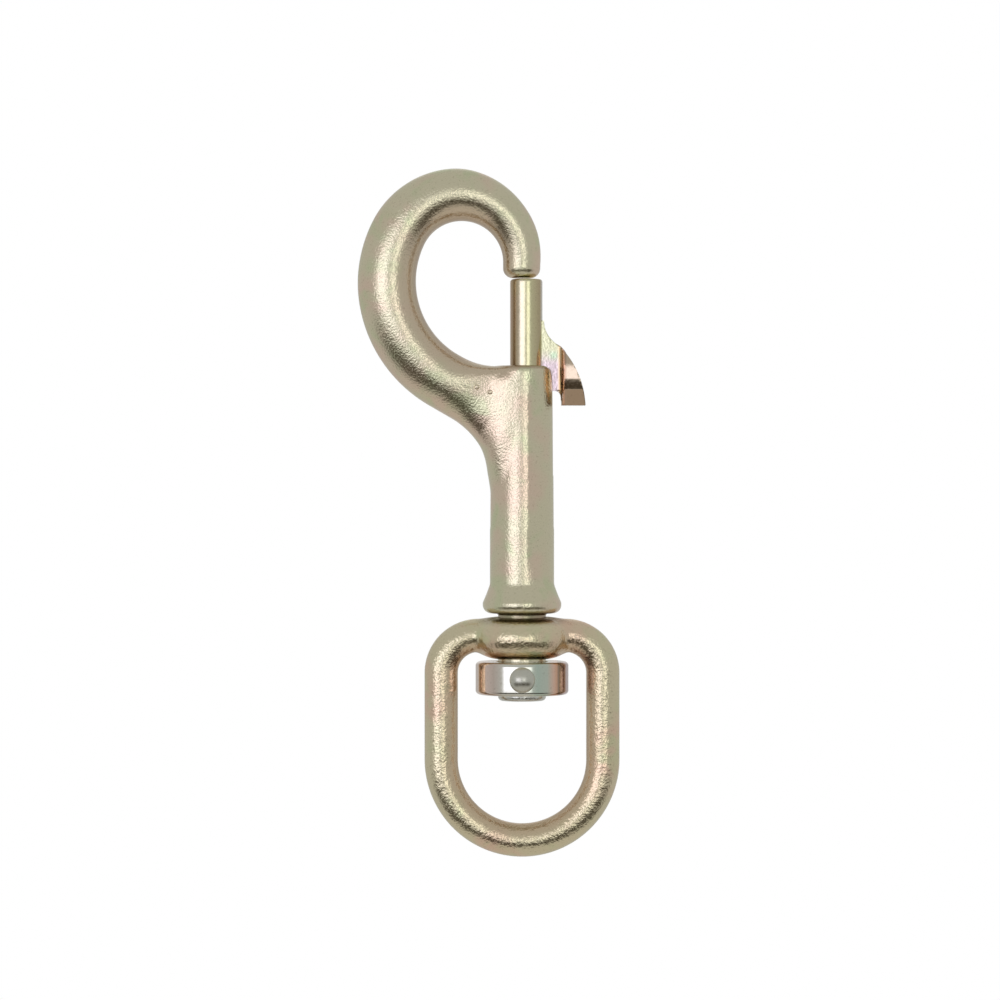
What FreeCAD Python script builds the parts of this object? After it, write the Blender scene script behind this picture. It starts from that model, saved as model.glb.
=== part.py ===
"""A forged swivel hook with a spring plunger latch, for straps and light rigging.

The frame: +Z runs along the swivel axis from the eye up to the hook, +X points from the
axis to the side with the plunger's thumb lever, and the origin is the centre of the eye's
round bow, on the swivel axis. Every length is in millimetres and every angle in degrees.
"""
import FreeCAD, Part
import math
import os
import re

import Sketcher
from FreeCAD import Placement, Rotation, Vector

# ---------------------------------------------------------------- driving dimensions
SIZES = {
    # swivel eye: a round bar bent to a D, with a boss in the middle of its flat side
    "eye_inside_radius": 12.7,      # inside of the round bow, half the eye's clear width
    "eye_stock_radius": 3.3,        # the round bar
    "eye_corner_radius": 7.4,       # bend at the two upper corners, to the bar's centreline
    "eye_bar_height": 24.5,         # bow centre to the flat side's centreline
    "boss_half_length": 12.0,       # the boss is an ellipsoid, cut flat above and below
    "boss_half_depth": 8.6,
    "boss_half_height": 5.9,
    "boss_drop": 0.55,              # boss centre below the bar's centreline
    "boss_height": 8.5,             # between its two flats
    # swivel joint
    "stem_radius": 4.75,
    "swivel_clearance": 0.1,        # radial, stem in boss
    "swivel_play": 0.7,             # boss to the foot of the barrel
    # collar and its rivet
    "collar_play": 0.35,            # boss to the collar
    "collar_radius": 9.2,
    "collar_height": 6.5,
    "collar_edge": 0.7,
    "collar_clearance": 0.05,       # radial, stem in collar
    "stem_overhang": 1.25,          # stem end below the collar
    "stem_end_round": 0.8,
    "rivet_radius": 1.6,
    "rivet_clearance": 0.03,
    "rivet_head_radius": 2.5,
    "rivet_head_height": 1.5,
    "rivet_tail_radius": 2.2,
    "rivet_tail_height": 0.9,
    # barrel
    "barrel_radius": 6.35,          # just above the flared foot
    "barrel_top_radius": 6.1,
    "barrel_length": 48.9,
    "barrel_top_round": 0.7,
    "flare_radius": 7.75,
    "flare_bead": 1.55,             # radius of the round bead that the foot ends in
    "flare_sweep": 4.2,             # radius of the hollow curve from barrel to bead
    # hook: the inside is a tight arc over the crown and a wide arc round the back
    "bowl_reach": 21.0,             # swivel axis to the inside of the back
    "bowl_back_radius": 16.8,
    "bowl_top_radius": 8.2,
    "tip_reach": 3.75,              # swivel axis to the inside of the tip
    "tip_run": 3.1,                 # straight stretch down to the tip's end
    "tip_round": 1.6,
    "root_angle": 60.0,             # back arc from its level point to the arm's root
    "neck_radius": 16.0,            # hollow curve from the arm's underside into the barrel
    "neck_sink": 0.35,              # how far that curve ends inside the barrel's flank
    "tip_width": 7.35,              # in the hook's plane
    "shoulder_width": 8.55,
    "crown_width": 10.4,
    "back_width": 11.55,
    "root_width": 11.6,
    "tip_depth": 7.2,               # across the hook's plane
    "shoulder_depth": 8.3,
    "crown_depth": 9.7,
    "back_depth": 10.8,
    "root_depth": 11.4,
    "neck_depth": 10.2,             # where the arm's last section lies inside the barrel
    # plunger latch
    "plunger_radius": 3.2,
    "plunger_offset": 0.85,         # plunger axis from the swivel axis
    "plunger_guide": 20.0,          # length inside the barrel when shut
    "plunger_edge": 0.45,
    "plunger_travel": 16.0,
    "gate_gap": 0.25,               # plunger end to hook tip
    "slide_clearance": 0.08,        # radial, plunger in bore
    "bore_depth": 43.8,
    "spigot_gap": 0.45,             # radial, spigot in the spring
    "spigot_length": 5.0,
    "spring_wire": 0.28,            # wire radius
    "spring_side_gap": 0.5,         # radial, spring in bore
    "spring_turns": 10.0,
    "spring_end_gap": 0.05,
    # thumb lever: a plate web set in the plunger, with a wide thumb pad on its outer edge
    "web_thickness": 1.8,
    "web_top": 9.0,                 # above the barrel's mouth
    "web_foot": 4.9,                # below the barrel's mouth
    "web_root": 0.35,               # inner edge of the web from the plunger's axis
    "web_notch": 1.6,               # hollow corner under the web, beside the pad
    "pad_inner": 7.1,               # pad's inner face from the plunger's axis
    "pad_outer": 11.65,
    "pad_foot": 7.8,                # below the barrel's mouth
    "pad_half_width": 4.4,
    "pad_tip": 4.6,                 # pad's pointed top above the barrel's mouth
    "pad_widest": 3.3,              # its widest place below the barrel's mouth
    "pad_edge": 0.4,
    "brow_reach": 6.35,             # where the lever's hollow front turns round, from the axis
    "brow_height": 4.15,            # that place above the barrel's mouth
    "brow_hollow": 7.5,             # radius of the hollow part
    "brow_round": 12.5,             # radius of the round part
    "keyway_clearance": 0.02,
    "slot_clearance": 0.25,         # each side of the web in the barrel
    "slot_run_out": 0.8,            # slot below the web's lowest place
    "mouth_half_width": 3.5,        # the slot's funnel mouth
    "mouth_depth": 5.2,
    "lever_pin_radius": 0.8,
    "lever_pin_offset": 1.35,       # from the plunger's axis
    "lever_pin_drop": 2.6,          # below the barrel's mouth
    "lever_pin_sink": 0.15,         # its ends below the plunger's surface
    "lever_pin_clearance": 0.02,
}

# Heights and places that follow from the driving dimensions, as formulas of their names.
PLACES = {
    "bow_radius": "eye_inside_radius + eye_stock_radius",
    "boss_middle": "eye_bar_height - boss_drop",
    "boss_top": "boss_middle + boss_height / 2",
    "boss_foot": "boss_middle - boss_height / 2",
    "barrel_foot": "boss_top + swivel_play",
    "barrel_top": "barrel_foot + barrel_length",
    "collar_top": "boss_foot - collar_play",
    "collar_foot": "collar_top - collar_height",
    "collar_bore": "stem_radius + collar_clearance",
    "stem_end": "collar_foot - stem_overhang",
    "rivet_level": "(collar_top + collar_foot) / 2",
    "bead_level": "barrel_foot + flare_bead",
    "flare_step": "flare_radius - barrel_radius",
    "flare_span": "flare_sweep + flare_bead",
    "flare_rise": "sqrt(flare_step * (2 * flare_span - flare_step))",
    "flare_top": "bead_level + flare_rise",
    "flare_turn": "bead_level + flare_bead * flare_rise / flare_span",
    "flare_neck": "flare_radius - flare_bead + flare_bead * (flare_span - flare_step) / flare_span",
    "back_middle": "bowl_back_radius - bowl_reach",
    "back_level": "barrel_top + bowl_back_radius",
    "crown_middle": "0 - tip_reach - bowl_top_radius",
    "crown_offset": "back_middle - crown_middle",
    "crown_gap": "bowl_back_radius - bowl_top_radius",
    "crown_rise": "sqrt(crown_gap * crown_gap - crown_offset * crown_offset)",
    "crown_level": "back_level + crown_rise",
    "tip_level": "crown_level - tip_run",
    "plunger_top": "tip_level - gate_gap",
    "plunger_foot": "barrel_top - plunger_guide",
    "plunger_bore": "plunger_radius + slide_clearance",
    "bore_floor": "barrel_top - bore_depth",
    "spring_radius": "plunger_bore - spring_side_gap - spring_wire",
    "spigot_radius": "spring_radius - spring_wire - spigot_gap",
    "web_level": "barrel_top - web_foot",
    "web_summit": "barrel_top + web_top",
    "pad_level": "barrel_top - pad_foot",
    "pad_summit": "barrel_top + pad_tip",
    "pad_middle": "barrel_top - pad_widest",
    "pad_height": "pad_tip + pad_widest",
    "pad_bow": "(pad_half_width ^ 2 + pad_height ^ 2) / (2 * pad_half_width)",
    "brow_level": "barrel_top + brow_height",
    "slot_half": "web_thickness / 2 + slot_clearance",
    "slot_floor": "web_level - plunger_travel - slot_run_out",
    "mouth_level": "barrel_top - mouth_depth",
    "lever_pin_level": "barrel_top - lever_pin_drop",
    "lever_pin_reach": "plunger_radius - lever_pin_sink",
    "lever_pin_edge": "lever_pin_offset + lever_pin_radius",
    "lever_pin_half": "sqrt(lever_pin_reach ^ 2 - lever_pin_edge ^ 2)",
    "spring_foot": "bore_floor + spring_wire + spring_end_gap",
    "spring_height": "plunger_foot - bore_floor - 2 * (spring_wire + spring_end_gap)",
}

OVER = 2.0              # how far a cutting outline runs past what it cuts
LEVEL_BACK = 180.0      # angle of the hook's level back, from +X towards +Z
CROWN_STEPS = 8         # sections along the crown's arc
BACK_STEPS = 5          # and along the back's arc
NECK_STEPS = 5          # and fanned out into the barrel
NECK_FIRST = 12.0       # first of those past the root, in degrees along the bowl
NECK_SWING = 20.0       # last of them past the first
NECK_DIP = Vector(4.5, 0, -1.6)     # how far the last one's inner point moves off the bowl

DOC = FreeCAD.newDocument("swivel_hook")


def fill(name, rows, as_formula):
    """A sheet with one named cell to a row: plain numbers, or formulas of other cells."""
    sheet = DOC.addObject("Spreadsheet::Sheet", name)
    for row, (alias, content) in enumerate(rows.items(), start=1):
        sheet.set(f"A{row}", alias)
        sheet.setAlias(f"B{row}", alias)
        sheet.set(f"B{row}", "=" + bind(content) if as_formula else str(content))
    DOC.recompute()
    return sheet


def bind(formula):
    """A formula's text, with each name sent to the sheet that holds it."""
    def home(match):
        word = match.group(0)
        sheet = "sizes" if word in SIZES else "places" if word in PLACES else None
        return f"{sheet}.{word}" if sheet else word
    return re.sub(r"[a-z_]+", home, str(formula))


SHEET = fill("sizes", SIZES, as_formula=False)
fill("places", PLACES, as_formula=True)


def value(formula):
    """The number that a formula of the sheets' names gives now."""
    answer = SHEET.evalExpression(bind(formula))
    return float(getattr(answer, "Value", answer))


# ---------------------------------------------------------------- sketches and features
def body_named(name, axis_at="0"):
    """A body whose own Z axis stands at axis_at along X."""
    body = DOC.addObject("PartDesign::Body", name)
    body.setExpression("Placement.Base.x", bind(axis_at))
    return body


def attach(thing, body, role, lift):
    """Seats a sketch or a solid on one of its body's origin planes, lifted along its normal."""
    plane = next(f for f in body.Origin.OriginFeatures if f.Role == role)
    thing.AttachmentSupport = (plane, [""])
    thing.MapMode = "FlatFace"
    thing.setExpression("AttachmentOffset.Base.z", bind(lift))


def sketch_in(body, name, role="XZ_Plane", lift="0"):
    """A sketch on one of a body's own origin planes, moved along its normal by lift."""
    sketch = body.newObject("Sketcher::SketchObject", name)
    attach(sketch, body, role, lift)
    return sketch


def bend(start, end, radius):
    """The shorter arc between two points, turning left for a positive radius."""
    chord = end - start
    middle = (start + end) / 2
    side = Vector(-chord.y, chord.x, 0).normalize() * math.copysign(1, radius)
    rise = math.sqrt(max(radius ** 2 - (chord.Length / 2) ** 2, 0))
    centre = middle + side * rise
    top = centre - side * abs(radius)
    return Part.Arc(start, top, end)


def hold(sketch, kind, edge, end, formula):
    """Pins a sketch point's distance from the sketch's origin along X or Y to a formula."""
    if formula == "0":
        axis = -2 if kind == "DistanceX" else -1
        sketch.addConstraint(Sketcher.Constraint("PointOnObject", edge, end, axis))
        return
    number = sketch.addConstraint(
        Sketcher.Constraint(kind, -1, 1, edge, end, value(formula)))
    sketch.setExpression(f"Constraints[{number}]", bind(formula))


def draw(sketch, corners, closed=True):
    """Draws an outline and binds it to the sheets.

    Each corner is a pair of formulas. A third one makes the stretch to the next corner an
    arc of that radius, and a minus in front of it turns that arc to the right.
    """
    points = [Vector(value(corner[0]), value(corner[1]), 0) for corner in corners]
    ends = []
    for number in range(len(corners) - (0 if closed else 1)):
        start, end = points[number], points[(number + 1) % len(points)]
        if len(corners[number]) == 2:
            sketch.addGeometry(Part.LineSegment(start, end), False)
            ends.append((1, 2))
            continue
        radius = value(corners[number][2])
        edge = sketch.addGeometry(bend(start, end, radius), False)
        ends.append((1, 2) if radius > 0 else (2, 1))
        size = sketch.addConstraint(Sketcher.Constraint("Radius", edge, abs(radius)))
        sketch.setExpression(f"Constraints[{size}]", bind(corners[number][2].lstrip("-")))
    for edge, (first, last) in enumerate(ends):
        hold(sketch, "DistanceX", edge, first, corners[edge][0])
        hold(sketch, "DistanceY", edge, first, corners[edge][1])
        if closed or edge + 1 < len(ends):
            after = (edge + 1) % len(ends)
            sketch.addConstraint(
                Sketcher.Constraint("Coincident", edge, last, after, ends[after][0]))
    if not closed:
        hold(sketch, "DistanceX", len(ends) - 1, ends[-1][1], corners[-1][0])
        hold(sketch, "DistanceY", len(ends) - 1, ends[-1][1], corners[-1][1])


def draw_circle(sketch, across, along, radius):
    """Draws a circle and binds its centre and its radius to the sheets."""
    centre = Vector(value(across), value(along), 0)
    edge = sketch.addGeometry(Part.Circle(centre, Vector(0, 0, 1), value(radius)), False)
    size = sketch.addConstraint(Sketcher.Constraint("Radius", edge, value(radius)))
    sketch.setExpression(f"Constraints[{size}]", bind(radius))
    hold(sketch, "DistanceX", edge, 3, across)
    hold(sketch, "DistanceY", edge, 3, along)


def turned(body, name, corners):
    """Adds the solid that an outline of radii and heights gives when turned about Z."""
    sketch = sketch_in(body, name + "_outline")
    draw(sketch, corners)
    turn = body.newObject("PartDesign::Revolution", name)
    turn.Profile = sketch
    turn.ReferenceAxis = (sketch, ["V_Axis"])
    turn.Angle = 360
    DOC.recompute()


def padded(body, name, sketch, length, both_ways=False):
    """Adds a sketch's outline, pulled out by length along its normal or half each way."""
    pad = body.newObject("PartDesign::Pad", name)
    pad.Profile = sketch
    if both_ways:
        pad.SideType = "Symmetric"
    pad.setExpression("Length", bind(length))
    DOC.recompute()


def pocketed(body, name, sketch, length, both_ways=False, backwards=False):
    """Cuts a sketch's outline away, and makes sure that something was cut."""
    before = body.Shape.Volume
    pocket = body.newObject("PartDesign::Pocket", name)
    pocket.Profile = sketch
    if both_ways:
        pocket.SideType = "Symmetric"
    pocket.Reversed = backwards
    pocket.setExpression("Length", bind(length))
    DOC.recompute()
    if not body.Shape.Volume < before - 1e-3:
        raise RuntimeError(f"{name} cuts nothing")


# ---------------------------------------------------------------- swivel eye
def make_swivel_eye():
    """A round bar bent to a D, with an upset boss that the hook's stem turns in."""
    body = body_named("swivel_eye")
    path = sketch_in(body, "eye_path")
    corner_level = "eye_bar_height - eye_corner_radius"
    draw(path, [
        ("0", "0 - bow_radius", "bow_radius"),
        ("bow_radius", "0"),
        ("bow_radius", corner_level, "eye_corner_radius"),
        ("bow_radius - eye_corner_radius", "eye_bar_height"),
        ("eye_corner_radius - bow_radius", "eye_bar_height", "eye_corner_radius"),
        ("0 - bow_radius", corner_level),
        ("0 - bow_radius", "0", "bow_radius"),
    ])
    section = sketch_in(body, "eye_section", "YZ_Plane")
    draw_circle(section, "0", "0 - bow_radius", "eye_stock_radius")
    DOC.recompute()
    bar = body.newObject("PartDesign::AdditivePipe", "eye_bar")
    bar.Profile = section
    bar.Spine = path
    DOC.recompute()

    boss = body.newObject("PartDesign::AdditiveEllipsoid", "eye_boss")
    boss.setExpression("Radius1", bind("boss_half_height"))
    boss.setExpression("Radius2", bind("boss_half_length"))
    boss.setExpression("Radius3", bind("boss_half_depth"))
    attach(boss, body, "XY_Plane", "boss_middle")
    DOC.recompute()

    for level, upwards in (("boss_top", True), ("boss_foot", False)):
        flat = sketch_in(body, level + "_outline", "XY_Plane", level)
        draw_circle(flat, "0", "0", "boss_half_length")
        pocketed(body, level + "_flat", flat, "boss_half_height", backwards=upwards)

    hole = sketch_in(body, "stem_hole_outline", "XY_Plane", "boss_middle")
    draw_circle(hole, "0", "0", "stem_radius + swivel_clearance")
    pocketed(body, "stem_hole", hole, "2 * (boss_height + eye_stock_radius)", both_ways=True)
    return body


# ---------------------------------------------------------------- hook and barrel
def hook_stations():
    """The hook's cross-sections from the tip to inside the barrel.

    Each is its inner point, its outer point and its depth across the hook's plane. The inner
    points follow the bowl; the outer ones stand off by the width, and past the arm's root
    they follow the hollow neck down into the barrel's flank.
    """
    crown = Vector(value("crown_middle"), 0, value("crown_level"))
    back = Vector(value("back_middle"), 0, value("back_level"))
    root = LEVEL_BACK + value("root_angle")
    last_crown = LEVEL_BACK - math.degrees(math.asin(value("crown_rise / crown_gap")))
    places = [(0, "tip"), (45, "shoulder"), (90, "crown"), (LEVEL_BACK, "back"), (root, "root")]

    def measure(angle, what):
        """The width or depth at an angle round the hook, even between the named places."""
        for (low, first), (high, second) in zip(places, places[1:]):
            if angle <= high + 1e-9:
                share = (angle - low) / (high - low)
                start, end = value(f"{first}_{what}"), value(f"{second}_{what}")
                return start + (end - start) * share
        raise ValueError(angle)

    def station(centre, radius, angle):
        """A section square to an arc of the bowl, at an angle from +X towards +Z."""
        inner = centre + spoke(angle) * radius
        return inner, inner + spoke(angle) * measure(angle, "width"), measure(angle, "depth")

    tip = Vector(-value("tip_reach"), 0, value("tip_level"))
    stations = [(tip, tip + Vector(value("tip_width"), 0, 0), value("tip_depth"))]
    for step in range(CROWN_STEPS + 1):
        angle = last_crown * step / CROWN_STEPS
        stations.append(station(crown, value("bowl_top_radius"), angle))
    for step in range(1, BACK_STEPS + 1):
        angle = last_crown + (root - last_crown) * step / BACK_STEPS
        stations.append(station(back, value("bowl_back_radius"), angle))
    return stations + neck_stations(stations[-1])


def spoke(angle):
    """The direction at an angle in the hook's plane, from +X towards +Z."""
    return Vector(math.cos(math.radians(angle)), 0, math.sin(math.radians(angle)))


def neck_stations(root):
    """Sections that fan out from the arm's root until they lie inside the barrel.

    Their outer points follow the hollow arc that meets the barrel's flank, and their inner
    points run on along the bowl and dip below the barrel's mouth.
    """
    inner, outer, depth = root
    lean = 90 - value("root_angle")
    radius = value("neck_radius")
    start_x = value("neck_sink - barrel_radius - neck_radius") + radius * spoke(90 - lean).x
    start_z = outer.z - (start_x - outer.x) * math.tan(math.radians(lean))
    centre = Vector(start_x, 0, start_z) - spoke(90 - lean) * radius
    back = Vector(value("back_middle"), 0, value("back_level"))
    fan = []
    for step in range(NECK_STEPS):
        share = step / (NECK_STEPS - 1)
        low = centre + spoke((90 - lean) * (1 - share)) * radius
        swing = LEVEL_BACK + value("root_angle") + NECK_FIRST + NECK_SWING * share
        high = back + spoke(swing) * value("bowl_back_radius") + NECK_DIP * share ** 2
        fan.append((high, low, depth + (value("neck_depth") - depth) * share))
    return fan


def section_wire(inner, outer, depth):
    """An elliptical section, square to the hook's plane, from an inner to an outer point."""
    centre = (inner + outer) / 2
    along, sideways = (outer - inner) / 2, Vector(0, depth / 2, 0)
    if along.Length < sideways.Length:
        along, sideways = sideways, along
    ellipse = Part.Ellipse(centre + along, centre + sideways, centre)
    return Part.Wire([ellipse.toShape()])


def make_arm():
    """The hook's tapered bar, from its rounded tip to where it merges with the barrel.

    Its section changes all the way along, so its shape is a loft that is worked out here.
    """
    bar = Part.makeLoft([section_wire(*station) for station in hook_stations()], True, False)
    tip = [e for e in bar.Edges if abs(e.BoundBox.ZMin - value("tip_level")) < 1e-3
           and e.BoundBox.ZLength < 1e-3]
    arm = DOC.addObject("Part::Feature", "hook_bar")
    arm.Shape = bar.makeFillet(value("tip_round"), tip)
    return arm


def make_hook_body():
    """The forging: hook, hollow barrel with its flared foot, and the swivel stem."""
    body = DOC.addObject("PartDesign::Body", "hook_body")
    body.BaseFeature = make_arm()
    DOC.recompute()
    turned(body, "barrel_and_stem", [
        ("0", "stem_end"),
        ("stem_radius - stem_end_round", "stem_end", "stem_end_round"),
        ("stem_radius", "stem_end + stem_end_round"),
        ("stem_radius", "barrel_foot"),
        ("flare_radius - flare_bead", "barrel_foot", "flare_bead"),
        ("flare_neck", "flare_turn", "-flare_sweep"),
        ("barrel_radius", "flare_top"),
        ("barrel_top_radius", "barrel_top - barrel_top_round", "barrel_top_round"),
        ("barrel_top_radius - barrel_top_round", "barrel_top"),
        ("0", "barrel_top"),
    ])

    bore = sketch_in(body, "plunger_bore_outline", "XY_Plane", "barrel_top")
    draw_circle(bore, "plunger_offset", "0", "plunger_bore")
    pocketed(body, "plunger_bore", bore, "bore_depth")

    slot = sketch_in(body, "lever_slot_outline", "YZ_Plane", "plunger_offset")
    above = f"barrel_top + {OVER}"
    draw(slot, [
        ("0 - slot_half", "slot_floor + slot_half", "slot_half"),
        ("0", "slot_floor", "slot_half"),
        ("slot_half", "slot_floor + slot_half"),
        ("slot_half", "mouth_level"),
        ("mouth_half_width", "barrel_top"),
        ("mouth_half_width", above),
        ("0 - mouth_half_width", above),
        ("0 - mouth_half_width", "barrel_top"),
        ("0 - slot_half", "mouth_level"),
    ])
    pocketed(body, "lever_slot", slot, "flare_radius", backwards=True)

    rivet = sketch_in(body, "rivet_hole_outline")
    draw_circle(rivet, "0", "rivet_level", "rivet_radius + rivet_clearance")
    pocketed(body, "rivet_hole", rivet, "2 * stem_radius + 2", both_ways=True)
    return body


# ---------------------------------------------------------------- collar and rivet
def make_collar():
    """The ring that keeps the eye on the stem."""
    body = DOC.addObject("PartDesign::Body", "retaining_collar")
    turned(body, "collar_ring", [
        ("collar_bore", "collar_foot"),
        ("collar_radius - collar_edge", "collar_foot", "collar_edge"),
        ("collar_radius", "collar_foot + collar_edge"),
        ("collar_radius", "collar_top - collar_edge", "collar_edge"),
        ("collar_radius - collar_edge", "collar_top"),
        ("collar_bore", "collar_top"),
    ])
    hole = sketch_in(body, "collar_rivet_hole_outline")
    draw_circle(hole, "0", "rivet_level", "rivet_radius + rivet_clearance")
    pocketed(body, "collar_rivet_hole", hole, "2 * collar_radius + 2", both_ways=True)
    return body


def rivet_head(name, radius, height, side):
    """A domed rivet head seated on the collar's round face, at the front for side -1."""
    ball_radius = f"(({radius}) ^ 2 + ({height}) ^ 2) / (2 * ({height}))"
    ball = DOC.addObject("Part::Sphere", name + "_ball")
    ball.setExpression("Radius", bind(ball_radius))
    reach = f"collar_radius + {height} - {ball_radius}"
    ball.setExpression("Placement.Base.y", bind(f"{side} * ({reach})"))
    ball.setExpression("Placement.Base.z", bind("rivet_level"))
    seat = DOC.addObject("Part::Cylinder", name + "_seat")
    seat.setExpression("Radius", bind("collar_radius"))
    seat.setExpression("Height", bind("3 * collar_height"))
    seat.setExpression("Placement.Base.z", bind("collar_foot - collar_height"))
    head = DOC.addObject("Part::Cut", name)
    head.Base = ball
    head.Tool = seat
    return head


def make_rivet():
    """The cross rivet through collar and stem, with a large head in front."""
    head = rivet_head("front_head", "rivet_head_radius", "rivet_head_height", -1)
    tail = rivet_head("back_head", "rivet_tail_radius", "rivet_tail_height", 1)
    shank = DOC.addObject("Part::Cylinder", "rivet_shank")
    shank.setExpression("Radius", bind("rivet_radius"))
    shank.setExpression("Height", bind("2 * collar_radius"))
    shank.setExpression("Placement.Base.y", bind("collar_radius"))
    shank.setExpression("Placement.Base.z", bind("rivet_level"))
    shank.setExpression("Placement.Rotation.Axis.x", "1")
    shank.setExpression("Placement.Rotation.Axis.z", "0")
    shank.setExpression("Placement.Rotation.Angle", "90")
    rivet = DOC.addObject("Part::MultiFuse", "collar_rivet")
    rivet.Shapes = [shank, head, tail]
    rivet.Refine = True
    DOC.recompute()
    return rivet


# ---------------------------------------------------------------- plunger latch
def make_plunger():
    """The round bolt that shuts the hook, with a keyway for the lever and a spring spigot."""
    body = body_named("plunger", "plunger_offset")
    turned(body, "plunger_bolt", [
        ("0", "plunger_foot - spigot_length"),
        ("spigot_radius - plunger_edge", "plunger_foot - spigot_length"),
        ("spigot_radius", "plunger_foot - spigot_length + plunger_edge"),
        ("spigot_radius", "plunger_foot"),
        ("plunger_radius - plunger_edge", "plunger_foot"),
        ("plunger_radius", "plunger_foot + plunger_edge"),
        ("plunger_radius", "plunger_top - plunger_edge"),
        ("plunger_radius - plunger_edge", "plunger_top"),
        ("0", "plunger_top"),
    ])
    key = sketch_in(body, "keyway_outline")
    low, high = "web_level - keyway_clearance", "web_summit + keyway_clearance"
    near, far = "web_root - keyway_clearance", "plunger_radius + 1"
    draw(key, [(near, low), (far, low), (far, high), (near, high)])
    pocketed(body, "keyway", key, "web_thickness + 2 * keyway_clearance", both_ways=True)

    hole = sketch_in(body, "lever_pin_hole_outline")
    draw_circle(hole, "lever_pin_offset", "lever_pin_level",
                "lever_pin_radius + lever_pin_clearance")
    pocketed(body, "lever_pin_hole", hole, "2 * plunger_radius + 2", both_ways=True)
    return body


def make_lever():
    """The thumb lever: a pointed pad cut to a rounded front, on a plate web."""
    body = body_named("thumb_lever", "plunger_offset")
    pad = sketch_in(body, "thumb_pad_outline", "YZ_Plane", "pad_inner")
    draw(pad, [
        ("0 - pad_half_width", "pad_level"),
        ("pad_half_width", "pad_level"),
        ("pad_half_width", "pad_middle", "pad_bow"),
        ("0", "pad_summit", "pad_bow"),
        ("0 - pad_half_width", "pad_middle"),
    ])
    padded(body, "thumb_pad", pad, "pad_outer - pad_inner")

    brow = sketch_in(body, "brow_outline")
    draw(brow, [
        ("pad_outer", "pad_level + pad_edge", "brow_round"),
        ("brow_reach", "brow_level"),
        ("brow_reach", "web_summit"),
        ("pad_outer + 1", "web_summit"),
        ("pad_outer + 1", "pad_level + pad_edge"),
    ])
    pocketed(body, "brow", brow, "2 * pad_half_width + 2", both_ways=True)

    web = sketch_in(body, "web_outline")
    draw(web, [
        ("web_root", "web_level"),
        ("pad_inner - web_notch", "web_level", "-web_notch"),
        ("pad_inner", "web_level - web_notch"),
        ("pad_inner + 1", "web_level - web_notch"),
        ("brow_reach + 1", "brow_level - 2"),
        ("brow_reach", "brow_level", "-brow_hollow"),
        ("plunger_radius + 0.3", "web_summit"),
        ("web_root", "web_summit"),
    ])
    padded(body, "web", web, "web_thickness", both_ways=True)

    hole = sketch_in(body, "lever_hole_outline")
    draw_circle(hole, "lever_pin_offset", "lever_pin_level",
                "lever_pin_radius + lever_pin_clearance")
    pocketed(body, "lever_hole", hole, "web_thickness + 2", both_ways=True)
    return body


def make_lever_pin():
    """The cross pin that holds the lever's web in the plunger."""
    pin = DOC.addObject("Part::Cylinder", "lever_pin")
    pin.setExpression("Radius", bind("lever_pin_radius"))
    pin.setExpression("Height", bind("2 * lever_pin_half"))
    pin.setExpression("Placement.Base.x", bind("plunger_offset + lever_pin_offset"))
    pin.setExpression("Placement.Base.y", bind("lever_pin_half"))
    pin.setExpression("Placement.Base.z", bind("lever_pin_level"))
    pin.setExpression("Placement.Rotation.Axis.x", "1")
    pin.setExpression("Placement.Rotation.Axis.z", "0")
    pin.setExpression("Placement.Rotation.Angle", "90")
    DOC.recompute()
    return pin


def make_spring():
    """The compression spring between the bore's floor and the plunger."""
    body = body_named("plunger_spring", "plunger_offset")
    wire = sketch_in(body, "spring_section")
    draw_circle(wire, "spring_radius", "spring_foot", "spring_wire")
    coil = body.newObject("PartDesign::AdditiveHelix", "spring_coil")
    coil.Profile = wire
    coil.ReferenceAxis = (wire, ["V_Axis"])
    coil.Mode = "height-turns-angle"
    coil.setExpression("Height", bind("spring_height"))
    coil.setExpression("Turns", bind("spring_turns"))
    DOC.recompute()
    return body


# ---------------------------------------------------------------- build and write
def check(parts):
    """Stops the build if anything in the document failed or a sub-part isn't sound."""
    for thing in DOC.Objects:
        if {"Invalid", "Error"} & set(thing.State):
            raise RuntimeError(f"{thing.Label} is in state {thing.State}")
    for part in parts:
        shape = part.Shape
        if shape.isNull() or not shape.isValid() or len(shape.Solids) != 1:
            raise RuntimeError(f"{part.Label} isn't one sound solid")


def write(parts):
    """Writes each sub-part to its own file, named after the sub-part."""
    os.makedirs("parts", exist_ok=True)
    for part in parts:
        part.Shape.exportStep(f"parts/{part.Label}.step")
        box = part.Shape.BoundBox
        print(f"{part.Label}: {part.Shape.Volume:.1f} mm3, "
              f"z {box.ZMin:.2f} to {box.ZMax:.2f}")


def main():
    """Builds every sub-part of the swivel hook."""
    parts = [make_swivel_eye(), make_hook_body(), make_collar(), make_rivet(),
             make_plunger(), make_lever(), make_lever_pin(), make_spring()]
    for part in parts:
        part.Label = part.Name
    DOC.recompute()
    check(parts)
    write(parts)


main()
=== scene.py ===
"""The looks of a forged swivel hook with a spring plunger latch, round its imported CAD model.

Lengths are millimetres in the part's own frame: +Z runs up the swivel axis from the eye to
the hook, +X points to the thumb lever, and the hook's plane is Y = 0. Every mesh is turned
into metres as it is made. The camera and the floor are placed in metres.
"""

import math

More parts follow.
